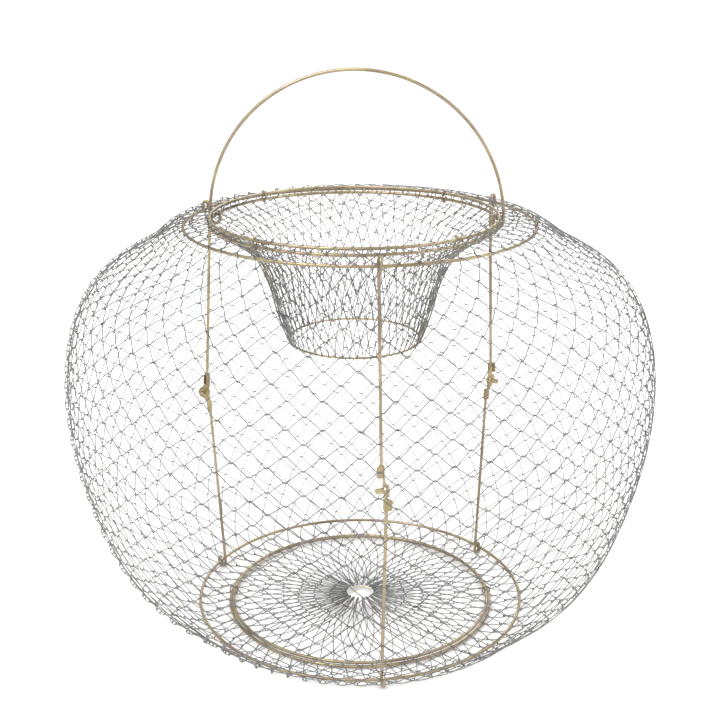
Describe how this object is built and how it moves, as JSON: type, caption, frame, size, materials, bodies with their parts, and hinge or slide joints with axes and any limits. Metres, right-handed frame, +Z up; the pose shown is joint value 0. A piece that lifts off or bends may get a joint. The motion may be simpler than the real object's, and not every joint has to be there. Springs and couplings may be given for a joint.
{
  "type": "folding crab trap",
  "caption": "Folding wire-net crab trap with a bail handle, a funnel mouth and hinged struts that fold between two hoops.",
  "frame": {"origin": "centre of the base on the floor it stands on", "axes": "+Z up through the mouth, -Y to the front, where the front strut stands, +X to the right seen from the front"},
  "size_m": [0.5476, 0.5476, 0.5241],
  "materials": {
    "hoop_wire": "satin",
    "clip_wire": "satin",
    "hinge_sheet": "satin",
    "rivet_steel": "satin",
    "net_wire": "satin"
  },
  "bodies": {
    "base": {"lower_hoop": "hoop_wire", "base_ring": "hoop_wire", "floor_ring": "hoop_wire", "base_clips": "clip_wire", "body_net": "net_wire", "floor_net": "net_wire", "floor_tie": "clip_wire"},
    "top": {"upper_hoop": "hoop_wire", "mouth_ring_lower": "hoop_wire", "mouth_ring_upper": "hoop_wire", "mouth_clips": "clip_wire", "funnel_net": "net_wire"},
    "throat": {"throat_ring": "hoop_wire"},
    "bail": {"bail_handle": "hoop_wire"},
    "front_lower": {"front_lower_rod": "hoop_wire", "front_lower_bracket": "hinge_sheet"},
    "front_upper": {"front_upper_rod": "hoop_wire", "front_upper_bracket": "hinge_sheet", "front_knee_rivet": "rivet_steel", "front_knee_collar": "rivet_steel"},
    "right_lower": {"right_lower_rod": "hoop_wire", "right_lower_bracket": "hinge_sheet"},
    "right_upper": {"right_upper_rod": "hoop_wire", "right_upper_bracket": "hinge_sheet", "right_knee_rivet": "rivet_steel", "right_knee_collar": "rivet_steel"},
    "left_lower": {"left_lower_rod": "hoop_wire", "left_lower_bracket": "hinge_sheet"},
    "left_upper": {"left_upper_rod": "hoop_wire", "left_upper_bracket": "hinge_sheet", "left_knee_rivet": "rivet_steel", "left_knee_collar": "rivet_steel"}
  },
  "joints": [
    {"name": "fold", "type": "hinge", "parent": "base", "child": "front_lower", "pos_m": [0.01811, -0.15897, 0.0088], "axis": [-0.9588, -0.284, 0], "range_deg": [0, 82], "deforming": ["body_net"]},
    {"name": "front_knee", "type": "hinge", "parent": "front_lower", "child": "front_upper", "pos_m": [0.02124, -0.16952, 0.19815], "axis": [-0.9588, -0.284, 0], "range_deg": [-164, 0]},
    {"name": "front_top", "type": "hinge", "parent": "front_upper", "child": "top", "pos_m": [0.01811, -0.15897, 0.3875], "axis": [-0.9588, -0.284, 0], "range_deg": [0, 82]},
    {"name": "right_foot", "type": "hinge", "parent": "base", "child": "right_lower", "pos_m": [0.12862, 0.09517, 0.0088], "axis": [0.7254, -0.6884, 0], "range_deg": [0, 82]},
    {"name": "right_knee", "type": "hinge", "parent": "right_lower", "child": "right_upper", "pos_m": [0.13619, 0.10315, 0.19815], "axis": [0.7254, -0.6884, 0], "range_deg": [-164, 0]},
    {"name": "left_foot", "type": "hinge", "parent": "base", "child": "left_lower", "pos_m": [-0.14673, 0.0638, 0.0088], "axis": [0.2334, 0.9724, 0], "range_deg": [0, 82]},
    {"name": "left_knee", "type": "hinge", "parent": "left_lower", "child": "left_upper", "pos_m": [-0.15743, 0.06637, 0.19815], "axis": [0.2334, 0.9724, 0], "range_deg": [-164, 0]},
    {"name": "throat_slide", "type": "slide", "parent": "top", "child": "throat", "axis": [0, 0, 1], "range_m": [0, 0.1006], "deforming": ["funnel_net"]},
    {"name": "bail_swing", "type": "hinge", "parent": "top", "child": "bail", "pos_m": [-0.004, 0.0137, 0.39215], "axis": [0.9976, -0.0698, 0], "range_deg": [-50, 50]}
  ],
  "couplings": [
    {"joint": "front_knee", "follows": "fold", "ratio": -2},
    {"joint": "front_top", "follows": "fold", "ratio": 1},
    {"joint": "right_foot", "follows": "fold", "ratio": 1},
    {"joint": "right_knee", "follows": "fold", "ratio": -2},
    {"joint": "left_foot", "follows": "fold", "ratio": 1},
    {"joint": "left_knee", "follows": "fold", "ratio": -2},
    {"joint": "throat_slide", "follows": "fold", "m_per_rad": 0.070222}
  ]
}
